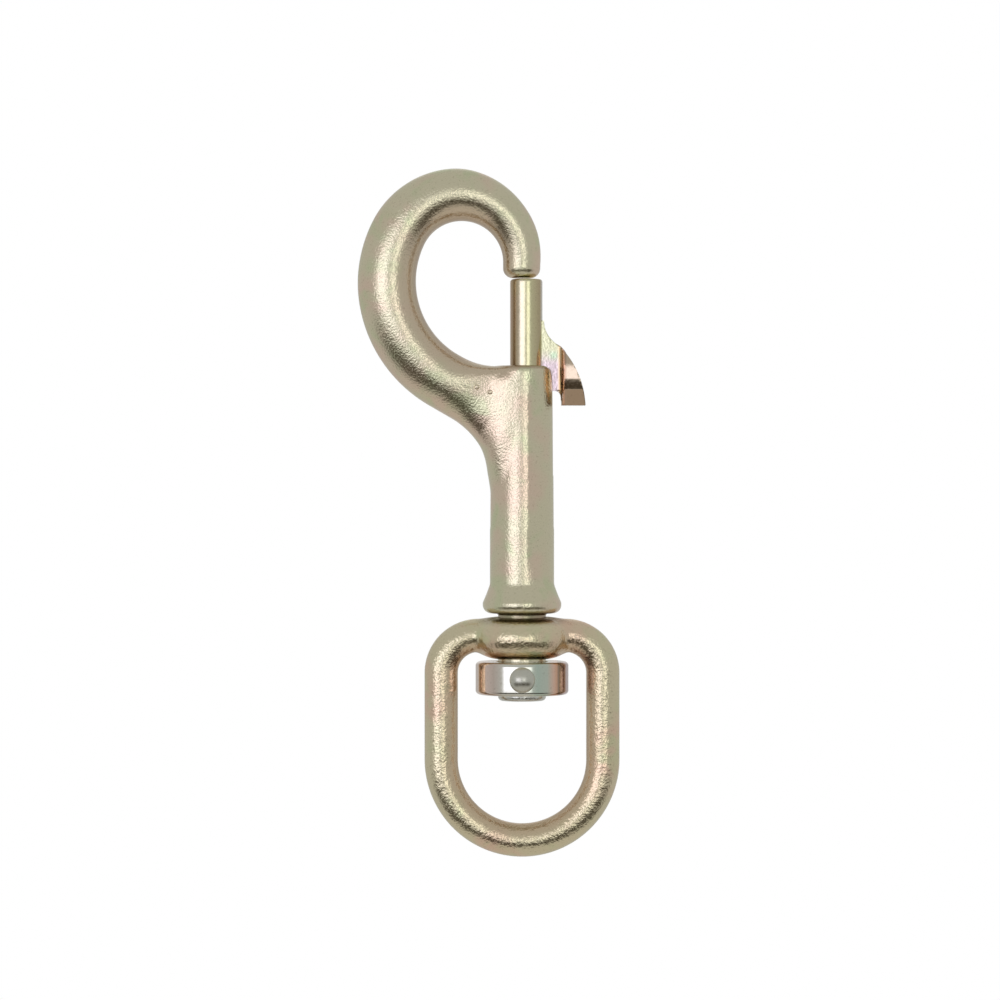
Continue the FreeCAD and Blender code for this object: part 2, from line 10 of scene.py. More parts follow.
import bpy
import numpy as np
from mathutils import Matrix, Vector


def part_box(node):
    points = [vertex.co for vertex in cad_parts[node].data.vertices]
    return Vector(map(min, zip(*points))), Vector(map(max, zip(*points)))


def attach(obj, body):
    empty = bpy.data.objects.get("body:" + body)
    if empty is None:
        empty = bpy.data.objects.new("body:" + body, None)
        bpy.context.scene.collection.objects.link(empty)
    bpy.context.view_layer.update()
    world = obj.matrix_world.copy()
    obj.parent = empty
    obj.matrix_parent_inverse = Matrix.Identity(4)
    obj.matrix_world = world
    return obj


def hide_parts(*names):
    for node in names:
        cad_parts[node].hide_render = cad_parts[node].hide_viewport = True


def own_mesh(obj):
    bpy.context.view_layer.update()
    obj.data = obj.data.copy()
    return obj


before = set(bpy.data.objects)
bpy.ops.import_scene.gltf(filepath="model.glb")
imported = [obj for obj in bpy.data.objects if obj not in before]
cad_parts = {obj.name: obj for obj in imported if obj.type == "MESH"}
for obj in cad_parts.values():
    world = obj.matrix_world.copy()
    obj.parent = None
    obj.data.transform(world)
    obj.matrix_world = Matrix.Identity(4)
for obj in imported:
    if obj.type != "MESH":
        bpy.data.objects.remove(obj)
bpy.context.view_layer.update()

MM = 0.001
TURN = 2 * math.pi
ALONG_Y = np.array([0.0, 1.0, 0.0])

# ---------------------------------------------------------------- sizes, in millimetres
CROWN = np.array([-11.95, 98.33])       # centre of the bowl's tight top arc, X and Z
CROWN_RADIUS = 8.2
BACK = np.array([-4.2, 94.6])           # centre of the bowl's wide arc round the back
BACK_RADIUS = 16.8
CROWN_END = math.radians(154.3)         # where the one arc runs into the other
ROOT = math.radians(240.0)              # where the arm starts to merge with the barrel
BEND_FOOT = 66.0                        # level above which the bar has an inside
TIP_LEVEL = 95.23
TIP_ROUND = 1.9
ARM_ANGLES = np.radians([-10, 0, 45, 90, 180, 240])
ARM_WIDTHS = [7.3, 7.35, 8.55, 10.4, 11.55, 11.6]
ARM_DEPTHS = [7.2, 7.2, 8.3, 9.7, 10.8, 10.5]
NECK_RADIUS = 16.0                      # hollow curve from the arm's underside to the flank
NECK_CENTRE = np.array([-22.0, 53.6])
PIPS = [(-8.9, 73.5), (-6.3, 72.5)]     # X and Z of the raised dots on the neck

MOUTH = 77.8                            # level of the barrel's top
BARREL_FOOT = 28.9
BARREL_TOP_RADIUS = 6.1
BARREL_RADIUS = 6.35
BARREL_EDGE = 1.1                       # rounding of the barrel's top edge
TAPER_FOOT = 34.0                       # level where the barrel's taper starts
STEM_RADIUS = 4.75
STEM_END = 11.6
STEM_EDGE = 0.35                        # corner cut where the stem leaves the foot
PANEL_TURN = math.radians(25)           # way that the blank panel faces, from Y
PANEL_DEPTH = 0.972                     # its distance from the axis, as a share of the radius

PLUNGER_X = 0.85
PLUNGER_RADIUS = 3.2
SPIGOT_RADIUS = 1.77
SPIGOT_LENGTH = 5.0
BORE_RADIUS = 3.28
BORE_FLOOR = 34.0
SLOT_HALF = 1.15
SLOT_FLOOR = 56.1
FUNNEL_HALF = 3.26
FUNNEL_FOOT = 72.6
WIRE_RADIUS = 0.28
COIL_RADIUS = 2.5
COIL_TURNS = 10

EYE_BAR = 3.3                           # radius of the eye's round bar
EYE_BOW = 16.0                          # radius of its bow, to the bar's centreline
EYE_CORNER = 7.4
EYE_TOP = 24.5
BOSS_MIDDLE = 23.95
BOSS_HALF = np.array([9.4, 8.6, 5.9])
BOSS_FLAT = 4.25                        # half the boss's height between its flats
SWIVEL_HOLE = 4.85

COLLAR_LOW, COLLAR_HIGH = 12.85, 19.35
COLLAR_OUTER, COLLAR_INNER = 9.2, 4.8
COLLAR_EDGE, COLLAR_CHAMFER = 0.85, 0.5
HEAD_RADIUS = 2.5                       # the rivet's domed head
HEAD_SPHERE = 2.85
SHANK_RADIUS = 1.6

LEVER_FOOT, LEVER_TOP = 70.0, 86.8
LEVER_REACH = 12.5
WEB_FOOT = 72.9
NOTCH_X, NOTCH_RADIUS = 6.35, 1.6       # the hollow corner under the web
PAD_INNER = 7.75                        # X of the pad's inner face
PAD_WIDE = 4.15                         # half its width at its widest level
PAD_WIDEST, PAD_HEIGHT = 75.2, 7.2      # that level, and the height of the point above it
WEB_HALF = 0.85                         # half the web's thickness, where it meets the rod
WEB_LEAN, PAD_LEAN = 0.09, 0.16         # growth of the two half widths with X
BROW = (7.2, 81.95)                     # where the outer edge's two arcs meet, X and Z
HOLLOW_RADIUS, BULGE_RADIUS = 5.6, 19.0


# ---------------------------------------------------------------- meshes from whole arrays
def make_piece(name, points, faces, sharp=40.0):
    """An object from points in millimetres and faces that all point the same way round.

    The signed volume, a sixth of the sum of each triangle's triple product, says whether
    the faces point outwards, and they are turned over if they don't.
    """
    volume = 0.0
    for group in faces:
        for k in range(1, group.shape[1] - 1):
            a, b, c = points[group[:, 0]], points[group[:, k]], points[group[:, k + 1]]
            volume += np.einsum("ij,ij->i", a, np.cross(b, c)).sum()
    if volume < 0:
        faces = [group[:, ::-1] for group in faces]
    mesh = bpy.data.meshes.new(name)
    mesh.from_pydata((points * MM).tolist(), [], [f for group in faces for f in group.tolist()])
    mesh.shade_smooth()
    mesh.set_sharp_from_angle(angle=math.radians(sharp))
    piece = bpy.data.objects.new(name, mesh)
    bpy.context.scene.collection.objects.link(piece)
    return piece


def mark(piece, name, values):
    """Keeps one number for each point of a piece, for its material to read."""
    layer = piece.data.attributes.new(name, "FLOAT", "POINT")
    layer.data.foreach_set("value", np.asarray(values, np.float32))


def skin(name, rings, joined=False):
    """A closed skin over rings of points, given as rows, columns and three coordinates.

    Each point is joined to the next in its ring and to the same one of the next ring. A
    joined skin closes its last ring on its first; any other has a pole at the middle of
    its first ring and of its last.
    """
    rows, columns = rings.shape[:2]
    here = np.arange(rows * columns).reshape(rows, columns)
    beside = np.roll(here, -1, axis=1)
    under, under_beside = np.roll(here, -1, axis=0), np.roll(beside, -1, axis=0)
    last = rows if joined else rows - 1
    quads = np.stack([here, beside, under_beside, under], axis=-1)[:last].reshape(-1, 4)
    points = rings.reshape(-1, 3)
    if joined:
        return make_piece(name, points, [quads])
    pole = np.full(columns, rows * columns)
    first = np.stack([beside[0], here[0], pole], axis=-1)
    end = np.stack([here[-1], beside[-1], pole + 1], axis=-1)
    points = np.vstack([points, rings[0].mean(axis=0), rings[-1].mean(axis=0)])
    return make_piece(name, points, [quads, first, end])


def rounded(corners, closed=False, step=0.2):
    """Points along straight lines that arcs of the corners' radii join.

    Each corner is its two coordinates and a radius. An arc starts and ends at the radius
    divided by the tangent of half the corner's angle away from it, and turns about the
    centre that lies the same radius off both lines.
    """
    spots = np.array([c[:2] for c in corners], float)
    out = []
    for i, (x, z, radius) in enumerate(corners):
        here = np.array([x, z], float)
        if radius <= 0 or (not closed and i in (0, len(corners) - 1)):
            out.append(here[None])
            continue
        back = spots[i - 1] - here
        on = spots[(i + 1) % len(spots)] - here
        back, on = back / np.linalg.norm(back), on / np.linalg.norm(on)
        half = math.acos(np.clip(back @ on, -1, 1)) / 2
        middle = back + on
        centre = here + middle / np.linalg.norm(middle) * radius / math.sin(half)
        start, end = (here + v * radius / math.tan(half) - centre for v in (back, on))
        sweep = math.pi - 2 * half
        count = max(3, int(math.ceil(radius * sweep / step)) + 1)
        share = np.linspace(0, 1, count)[:, None]
        out.append(centre + (np.sin((1 - share) * sweep) * start
                             + np.sin(share * sweep) * end) / math.sin(sweep))
    return np.vstack(out)


def spread(path, step):
    """The same path with more points on its long straight runs, at most a step apart."""
    legs = np.hypot(*np.diff(path, axis=0).T)
    counts = np.maximum(1, np.ceil(legs / step)).astype(int)
    place = np.concatenate([i + np.arange(n) / n for i, n in enumerate(counts)]
                           + [[len(legs)]])
    index = np.arange(len(path))
    return np.stack([np.interp(place, index, path[:, k]) for k in (0, 1)], axis=-1)


def turned(profile, columns=96, x=0.0):
    """Rings of a profile of radius and height turned about an upright axis at x."""
    angle = np.arange(columns) * TURN / columns
    radius, height = profile[:, :1], profile[:, 1:]
    return np.stack([x + radius * np.cos(angle), radius * np.sin(angle),
                     height + 0 * angle], axis=-1)


def ease(value, start, end):
    """Nought before start, one after end, and a smooth step between."""
    share = np.clip((value - start) / (end - start), 0, 1)
    return share * share * (3 - 2 * share)


def merged(first, second, softness):
    """The smaller of two distances, rounded off where they are within softness."""
    overlap = np.maximum(softness - np.abs(first - second), 0) / softness
    return np.minimum(first, second) - overlap ** 2 * softness / 4


def rings_by_rays(middles, across, field, farthest, columns):
    """Rings where a field is nought, along rays from each middle in its own plane.

    A ray points along cosine times across plus sine times Y, and every ray's length is
    halved in on at once, between nought and farthest.
    """
    halvings = 26
    angle = np.arange(columns) * TURN / columns
    rays = (np.cos(angle)[:, None] * across[:, None, :]
            + np.sin(angle)[:, None] * ALONG_Y)
    near = np.zeros(rays.shape[:2])
    far = np.full(rays.shape[:2], float(farthest))
    for _ in range(halvings):
        half = (near + far) / 2
        outside = field(middles[:, None, :] + rays * half[..., None]) > 0
        near, far = np.where(outside, near, half), np.where(outside, half, far)
    return middles[:, None, :] + rays * ((near + far) / 2)[..., None]


def in_plane(flat):
    """Points of the hook's plane, X and Z, as points in space."""
    return np.stack([flat[..., 0], 0 * flat[..., 0], flat[..., 1]], axis=-1)


def bar_distance(along, sideways, half_along, half_sideways, power, lean):
    """About how far a point lies outside the bar's section.

    The section is a superellipse of that power, whose depth grows by the share lean from its
    middle to its outer end. The distance is the two scaled coordinates' powers summed and
    brought back by the same root, less one, times the half depth.
    """
    first = np.abs(along / half_along)
    depth = half_sideways * (1 + lean * np.clip(along / half_along, -1, 1))
    second = np.abs(sideways / depth)
    return ((first ** power + second ** power) ** (1 / power) - 1) * half_sideways


def barrel_radius(level):
    """The barrel's radius at a level: it tapers a little towards its top."""
    return np.interp(level, [TAPER_FOOT, MOUTH], [BARREL_RADIUS, BARREL_TOP_RADIUS])


def barrel_distance(points):
    """How far points lie outside the barrel, a slightly tapered cylinder, rounded on top."""
    side = np.hypot(points[..., 0], points[..., 1]) - barrel_radius(points[..., 2]) + BARREL_EDGE
    top = points[..., 2] - MOUTH + BARREL_EDGE
    return (np.hypot(np.maximum(side, 0), np.maximum(top, 0))
            + np.minimum(np.maximum(side, top), 0) - BARREL_EDGE)


# ---------------------------------------------------------------- the forging
COLUMNS = 128
ROUND_ROWS = 12         # sections in the rounding of the hook's tip
TIP_ROWS = 16           # those and the ones on the straight above it
FAN_ROWS = 190
FAN_END = 46.0          # below this level the sections are level
MERGE = 2.0             # softness added to the join of arm and barrel, left of its middle
LEAST_MERGE = 0.25      # softness of the join elsewhere
SINK_IN, SINK_OUT = 4.0, 3.6        # how far the bar's two ends sink into the barrel
THINNING = 4.5                      # depth that the bar loses through the fan
INNER_FILL, OUTER_FILL = 6.0, 1.2   # added to the section's power on either side
BACK_LEAN = -0.12       # round the back, change of depth from a section's middle outwards
FRONT_SLANT = 0.024     # in the fan, share of depth gained for each millimetre of X


def spoke(angle):
    """Unit directions in the hook's plane, at angles from +X towards +Z."""
    return np.stack([np.cos(angle), np.sin(angle)], axis=-1)


def walk(path, share):
    """Places at shares of a path's whole length."""
    run = np.concatenate([[0], np.cumsum(np.hypot(*np.diff(path, axis=0).T))])
    return np.stack([np.interp(share * run[-1], run, path[:, k]) for k in (0, 1)], axis=-1)


def arm_rails():
    """Inner and outer points, depths and angles of the bar's sections, from tip to root.

    The inner points go up the straight tip and round the bowl's two arcs. The outer ones
    stand off by a width that changes evenly between the named angles; widths and depths are
    then averaged over a bell-shaped window, so that neither changes with a crease.
    """
    turn = np.linspace(0, math.pi / 2, ROUND_ROWS)
    straight = np.linspace(TIP_LEVEL + TIP_ROUND, CROWN[1], TIP_ROWS - ROUND_ROWS + 2)
    tip = np.concatenate([TIP_LEVEL + TIP_ROUND * (1 - np.cos(turn)), straight[1:-1]])
    tip_inner = np.stack([np.full(len(tip), CROWN[0] + CROWN_RADIUS), tip], axis=-1)
    top = np.linspace(0, CROWN_END, 130)
    back = np.linspace(CROWN_END, ROOT, 112)[1:]
    inner = np.vstack([tip_inner, CROWN + CROWN_RADIUS * spoke(top),
                       BACK + BACK_RADIUS * spoke(back)])
    angle = np.concatenate([0 * tip, top, back])
    width = np.interp(angle, ARM_ANGLES, ARM_WIDTHS)
    depth = np.interp(angle, ARM_ANGLES, ARM_DEPTHS)
    reach = 12
    window = np.hanning(2 * reach + 1)
    window /= window.sum()
    padded = [np.pad(row, reach, mode="edge") for row in (width, depth)]
    width, depth = (np.convolve(row, window, mode="valid") for row in padded)
    outer = inner + width[:, None] * spoke(angle)
    return inner, outer, depth, angle


def fan_rails(root_outer):
    """Rails for the planes that fan out from the arm's root until they are level.

    The inner one runs on round the bowl, over the barrel's mouth and down its right flank;
    the outer one runs straight on and then round the neck's hollow arc to the left flank.
    """
    bowl = BACK + BACK_RADIUS * spoke(np.linspace(ROOT, 1.5 * math.pi, 40))
    edge = rounded([(BACK[0], MOUTH, 0), (BARREL_TOP_RADIUS, MOUTH, BARREL_EDGE),
                    (BARREL_RADIUS, FAN_END, 0)])
    arc = NECK_CENTRE + NECK_RADIUS * spoke(np.linspace(math.pi / 3, 0, 40))
    inner = np.vstack([bowl, edge[1:]])
    outer = np.vstack([root_outer[None], arc, [[-BARREL_RADIUS, FAN_END]]])
    share = np.linspace(0, 1, FAN_ROWS + 1)[1:]
    return walk(inner, share), walk(outer, share), share


def forging_rings():
    """Every ring of the forging, from the hook's tip to the stem's end.

    The arm's sections are ovals that hug the bowl's rails, and the tip's shrink round its
    end. Through the fan, share runs from nought at the arm's root to one where the sections
    are level: the bar's inner end sinks into the barrel and then its outer one, its corners
    fill out, its front slants to meet the barrel's, and the join grows sharp again.
    """
    inner, outer, depth, angle = arm_rails()
    fan_inner, fan_outer, share = fan_rails(outer[-1])
    rows = len(inner)

    def column(arm, fan):
        """One value for each section, the arm's first and then the fan's."""
        return np.concatenate([np.broadcast_to(arm, rows), fan])[:, None]

    all_inner = np.vstack([inner, fan_inner])
    all_outer = np.vstack([outer, fan_outer])
    middles = in_plane((all_inner + all_outer) / 2)
    length = np.hypot(*(all_outer - all_inner).T)[:, None]
    across = in_plane((all_outer - all_inner) / length)

    # How far each end of the bar is sunk below its rail, its halves, and its middle's shift.
    sink_in = column(0, 0.15 * ease(share, 0, 0.1) + SINK_IN * ease(share, 0.17, 0.60))
    sink_out = column(0, SINK_OUT * ease(share, 0.60, 0.98))
    half = (length - sink_in - sink_out) / 2
    shift = (sink_in - sink_out) / 2
    half_depth = column(depth, depth[-1] - THINNING * ease(share, 0.45, 0.95)) / 2

    # The tip's rounding: its sections shrink as a quarter circle does towards its end.
    rise = np.clip(all_inner[:, 1] - TIP_LEVEL, 0, TIP_ROUND)
    rise = np.where(np.arange(len(rise)) < TIP_ROWS, rise, TIP_ROUND)[:, None]
    shrink = TIP_ROUND - np.sqrt(np.maximum(TIP_ROUND ** 2 - (TIP_ROUND - rise) ** 2, 0))
    half, half_depth = half - shrink, half_depth - shrink

    # The section's powers on its two sides, and how its depth changes: round the back of the
    # bowl it is deeper inside, and through the fan it grows to the right.
    inner_power = column(2.0, 2.0 + INNER_FILL * ease(share, 0, 0.30))
    outer_power = column(2.0, 2.0 + OUTER_FILL * ease(share, 0, 0.30))
    behind = column(ease(angle, math.pi / 2, math.pi * 0.9), np.ones(FAN_ROWS))
    before = 1 - ease(np.arange(len(behind)), rows - 40, rows + 30)[:, None]
    lean = BACK_LEAN * behind * before
    slant = FRONT_SLANT * column(0, ease(share, 0, 0.3))
    fading = column(1, 1 - 0.95 * ease(share, 0.70, 0.98))

    def field(points):
        x = points[..., 0]
        along = ((points - middles[:, None, :]) * across[:, None, :]).sum(axis=-1)
        outwards = ease(along + length / 2, 0.8, 4.5)
        softness = (LEAST_MERGE + MERGE * outwards * ease(x, 0.0, -6.0)) * fading
        along = along - shift
        power = np.where(along < 0, inner_power, outer_power)
        # The front slants up to just left of the barrel's middle and falls off steeply past it.
        slope = np.minimum(x, -0.5) + 6.0 - 4.2 * np.maximum(x + 0.5, 0)
        thick = half_depth * (1 + slant * slope.clip(-38))
        bar = bar_distance(along, points[..., 1], half, thick, power, lean)
        return merged(bar, barrel_distance(points), softness)

    rings = rings_by_rays(middles, across, field, 22.0, COLUMNS)

    # Below, the sections are level circles: barrel, flared foot with its bead, stem, end.
    foot = rounded([(BARREL_RADIUS, FAN_END, 0), (BARREL_RADIUS, 34.6, 3.0),
                    (7.1, 32.6, 2.4), (7.78, 31.0, 1.0), (7.76, BARREL_FOOT, 1.62),
                    (STEM_RADIUS + STEM_EDGE, BARREL_FOOT, 0),
                    (STEM_RADIUS, BARREL_FOOT - STEM_EDGE, 0),
                    (STEM_RADIUS, STEM_END, 0.8), (0.5, STEM_END, 0)])
    foot = spread(foot, 0.6)[1:]
    angle = np.arange(COLUMNS) * TURN / COLUMNS
    low = np.stack([-foot[:, :1] * np.cos(angle), foot[:, :1] * np.sin(angle),
                    foot[:, 1:] + 0 * angle], axis=-1)
    return press_panel(np.concatenate([rings, low]))


def press_panel(rings):
    """A blank flat panel pressed into the barrel's front and back, right of its middle.

    The flat's normal is PANEL_TURN round from Y and it lies PANEL_DEPTH of the barrel's
    radius out, so it cuts the cylinder only where X times the sine of that angle, plus the
    size of Y times its cosine, is more. It fades out towards both its ends.
    """
    x, y, z = np.moveaxis(rings, -1, 0)
    flat = (PANEL_DEPTH * barrel_radius(z) - x * math.sin(PANEL_TURN)) / math.cos(PANEL_TURN)
    inside = ease(z, 36.0, 40.0) * (1 - ease(z, 71.0, 75.5)) * (x > 0) * (x < 5)
    deep = np.maximum(np.abs(y) - flat, 0) * inside
    return np.stack([x, y - np.sign(y) * deep, z], axis=-1)


def pip_rings(rings, x, z):
    """A tiny dome stood on the forging's front at X and Z, turned about its own level axis.

    The forging's nearest ring point in front gives the level that the dome stands on.
    """
    spots = rings.reshape(-1, 3)
    front = spots[spots[:, 1] < 0]
    foot = front[np.hypot(front[:, 0] - x, front[:, 2] - z).argmin(), 1]
    profile = rounded([(0.04, 0.30, 0), (0.42, 0.26, 0.25), (0.60, -0.30, 0),
                       (0.04, -0.30, 0)], step=0.06)
    dome = turned(profile, 28)
    return np.stack([x + dome[..., 0], foot - dome[..., 2], z + dome[..., 1]], axis=-1)


def cutter(name, rings):
    """A solid that only cuts: it is used up by the piece that it cuts."""
    piece = skin(name, rings)
    piece.hide_render = True
    return piece


def cut(piece, tools):
    """The piece with every tool's solid taken away, as one plain mesh."""
    for tool in tools:
        step = piece.modifiers.new("cut", "BOOLEAN")
        step.operation, step.solver, step.object = "DIFFERENCE", "EXACT", tool
    graph = bpy.context.evaluated_depsgraph_get()
    mesh = bpy.data.meshes.new_from_object(piece.evaluated_get(graph))
    piece.modifiers.clear()
    piece.data = mesh
    mesh.shade_smooth()
    mesh.set_sharp_from_angle(angle=math.radians(35))
    for tool in tools:
        bpy.data.objects.remove(tool)
    return piece


def bore_tool():
    """The plunger's bore: a plain cylinder from its floor to past the mouth."""
    profile = np.array([[BORE_RADIUS, BORE_FLOOR], [BORE_RADIUS, MOUTH + 3]])
    return cutter("bore_tool", turned(profile, 96, PLUNGER_X))


def slot_tool():
    """The slot for the thumb lever: a flat box that opens into a funnel at the mouth.

    Its half width is constant up to the funnel's foot, then grows with the 1.3rd power of
    the height to the funnel's full half width at the mouth.
    """
    level = np.concatenate([[SLOT_FLOOR], np.linspace(FUNNEL_FOOT, MOUTH, 14), [MOUTH + 3]])
    grown = np.clip((level - FUNNEL_FOOT) / (MOUTH - FUNNEL_FOOT), 0, 1.1)
    half = SLOT_HALF + (FUNNEL_HALF - SLOT_HALF) * grown ** 1.3
    near, far = PLUNGER_X + 0.4, BARREL_RADIUS + 4
    corners = np.array([[near, -1], [far, -1], [far, 1], [near, 1]], float)
    rings = np.stack([np.broadcast_to(corners[:, 0], (len(level), 4)),
                      half[:, None] * corners[:, 1], level[:, None] + 0 * corners[:, 0]],
                     axis=-1)
    return cutter("slot_tool", rings)


# ---------------------------------------------------------------- the other pieces
def eye_rings():
    """Rings of the swivel eye: a round bar bent to a D, swelling into the boss.

    The sections are square to the D. Each is where the bar's circle and the boss, an
    ellipsoid cut flat above and below, merge.
    """
    rows, columns = 460, 96
    flat_softness, join_softness = 1.6, 1.1
    shoulder = np.array([EYE_BOW - EYE_CORNER, EYE_TOP - EYE_CORNER])
    bow = EYE_BOW * spoke(np.linspace(math.pi, TURN, 170))
    right = shoulder + EYE_CORNER * spoke(np.linspace(0, math.pi / 2, 60))
    left = right[::-1] * [-1, 1]
    path = np.vstack([bow, right, left, [[-EYE_BOW, 0]]])
    centre = walk(path, np.arange(rows) / rows)
    onward = np.roll(centre, -1, axis=0) - np.roll(centre, 1, axis=0)
    onward /= np.hypot(*onward.T)[:, None]
    across = in_plane(np.stack([onward[:, 1], -onward[:, 0]], axis=-1))
    middles = in_plane(centre)

    def field(points):
        bar = np.linalg.norm(points - middles[:, None, :], axis=-1) - EYE_BAR
        away = points - [0, 0, BOSS_MIDDLE]
        scaled = np.linalg.norm(away / BOSS_HALF, axis=-1)
        steep = np.linalg.norm(away / BOSS_HALF ** 2, axis=-1)
        boss = scaled * (scaled - 1) / np.maximum(steep, 1e-9)
        boss = -merged(-boss, BOSS_FLAT - np.abs(away[..., 2]), flat_softness)
        return merged(bar, boss, join_softness)

    return rings_by_rays(middles, across, field, 14.0, columns)


def collar_rings():
    """The retaining collar: a ring with rounded outer edges and a small inner chamfer."""
    eased = COLLAR_INNER + COLLAR_CHAMFER
    profile = rounded([(eased, COLLAR_LOW, 0), (COLLAR_OUTER, COLLAR_LOW, COLLAR_EDGE),
                       (COLLAR_OUTER, COLLAR_HIGH, COLLAR_EDGE), (eased, COLLAR_HIGH, 0),
                       (COLLAR_INNER, COLLAR_HIGH - COLLAR_CHAMFER, 0),
                       (COLLAR_INNER, COLLAR_LOW + COLLAR_CHAMFER, 0)],
                      closed=True, step=0.12)
    closed = np.vstack([profile, profile[:1]])
    return turned(spread(closed, 0.8)[:-1], 128)


def extents(node):
    """The low and high corners of a CAD node's box, in millimetres."""
    return [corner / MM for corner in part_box(node)]


def rivet_rings():
    """The cross rivet, turned about a level axis: domed head in front, low tail behind.

    The head's dome is an arc of a sphere a little wider than the head itself.
    """
    low, high = extents("collar_rivet")
    front, rear = low[1], high[1]
    sweep = np.linspace(0.02, math.asin(HEAD_RADIUS / HEAD_SPHERE), 16)[:, None]
    head = np.hstack([HEAD_SPHERE * np.sin(sweep), front + HEAD_SPHERE * (1 - np.cos(sweep))])
    shank = rounded([(HEAD_RADIUS, front + 1.5, 0), (2.46, front + 2.3, 0),
                     (SHANK_RADIUS, front + 2.3, 0), (SHANK_RADIUS, rear - 1.5, 0),
                     (2.2, rear - 1.5, 0), (2.2, rear - 0.55, 0.3), (1.4, rear, 0.8),
                     (0.05, rear, 0)], step=0.1)
    rings = turned(spread(np.vstack([head, shank]), 0.5), 80)
    level = (low[2] + high[2]) / 2
    return np.stack([rings[..., 0], rings[..., 2], level + rings[..., 1]], axis=-1)


def plunger_rings():
    """The plunger: a plain rod with rounded ends and a thin spigot for the spring."""
    low, high = extents("plunger")
    foot = low[2] + SPIGOT_LENGTH
    profile = rounded([(0.1, high[2], 0), (PLUNGER_RADIUS, high[2], 0.55),
                       (PLUNGER_RADIUS, foot, 0.4), (SPIGOT_RADIUS, foot, 0),
                       (SPIGOT_RADIUS, low[2], 0.3), (0.1, low[2], 0)], step=0.12)
    return turned(spread(profile, 0.7), 96, PLUNGER_X)


def spring_rings():
    """The spring: a round wire carried along a helix with evenly spaced turns."""
    low, high = extents("plunger_spring")
    share = np.linspace(0, 1, 40 * COIL_TURNS + 1)
    angle = share * COIL_TURNS * TURN
    climb = high[2] - low[2] - 2 * WIRE_RADIUS
    centre = np.stack([PLUNGER_X + COIL_RADIUS * np.cos(angle), COIL_RADIUS * np.sin(angle),
                       low[2] + WIRE_RADIUS + share * climb], axis=-1)
    outward = np.stack([np.cos(angle), np.sin(angle), 0 * angle], axis=-1)
    onward = np.gradient(centre, axis=0)
    onward /= np.linalg.norm(onward, axis=-1, keepdims=True)
    upward = np.cross(onward, outward)
    around = np.arange(12) * TURN / 12
    return centre[:, None] + WIRE_RADIUS * (np.cos(around)[:, None] * outward[:, None]
                                            + np.sin(around)[:, None] * upward[:, None])


def arc_across(level, start, end, radius, side):
    """X at each height of an arc between two points, bulging to -X or, if side is -1, to +X.

    Its centre is off the chord's middle by the square root of the radius squared less a
    quarter of the chord squared.
    """
    start, end = np.array(start), np.array(end)
    chord = end - start
    length = np.hypot(*chord)
    normal = np.array([chord[1], -chord[0]]) / length * side
    centre = (start + end) / 2 + normal * math.sqrt(radius ** 2 - length ** 2 / 4)
    inside = np.sqrt(np.maximum(radius ** 2 - (level - centre[1]) ** 2, 0))
    return centre[0] - side * inside


def brow(level):
    """The lever's outer edge, X at each height: a hollow arc above the brow, a bulge below."""
    hollow = arc_across(level, BROW, (4.35, LEVER_TOP), HOLLOW_RADIUS, 1)
    bulge = arc_across(level, (LEVER_REACH, LEVER_FOOT + 0.4), BROW, BULGE_RADIUS, -1)
    return np.where(level > BROW[1], hollow, bulge)


def lever_distance(points):
    """About how far points lie outside the thumb lever.

    The web is a plate under the brow's curve with a hollow corner below, and it thickens a
    little outwards. The pad is a slab between its inner face and the same curve, and its
    sides lean outwards as X grows. Its half width closes to a point above as one less a
    power of the height, and below it shrinks along a curve and then a facet.
    """
    x, y, z = points[..., 0], np.abs(points[..., 1]), points[..., 2]
    sloping = 0.85          # turns a level gap into about the square one
    front = (x - brow(z)) * sloping
    half = WEB_HALF + WEB_LEAN * (x - 4.5)
    plate = np.maximum.reduce([front, x - 8.4, 1.2 - x, WEB_FOOT - z, z - LEVER_TOP, y - half])
    notch = NOTCH_RADIUS - np.hypot(x - NOTCH_X, z - (WEB_FOOT - NOTCH_RADIUS))
    corner = np.maximum.reduce([NOTCH_X - x, WEB_FOOT - NOTCH_RADIUS - z, notch, x - 8.6,
                                z - WEB_FOOT - 0.5, y - 0.9])
    rise = np.clip((z - PAD_WIDEST) / PAD_HEIGHT, 0, 1)
    drop = np.clip(PAD_WIDEST - z, 0, 2.1)
    facet = np.clip(73.1 - z, 0, None)
    wide = PAD_WIDE * (1 - rise ** 3.5) ** 0.75 - drop * (0.16 + 0.05 * drop) - facet * 0.62
    wide = wide + PAD_LEAN * (x - 10.2)
    inner = PAD_INNER + 0.2 * np.maximum(y - 0.9, 0) - x
    slab = np.maximum.reduce([(y - wide) * sloping, inner, front, LEVER_FOOT - z])
    return merged(np.minimum(plate, corner), slab, 0.7)


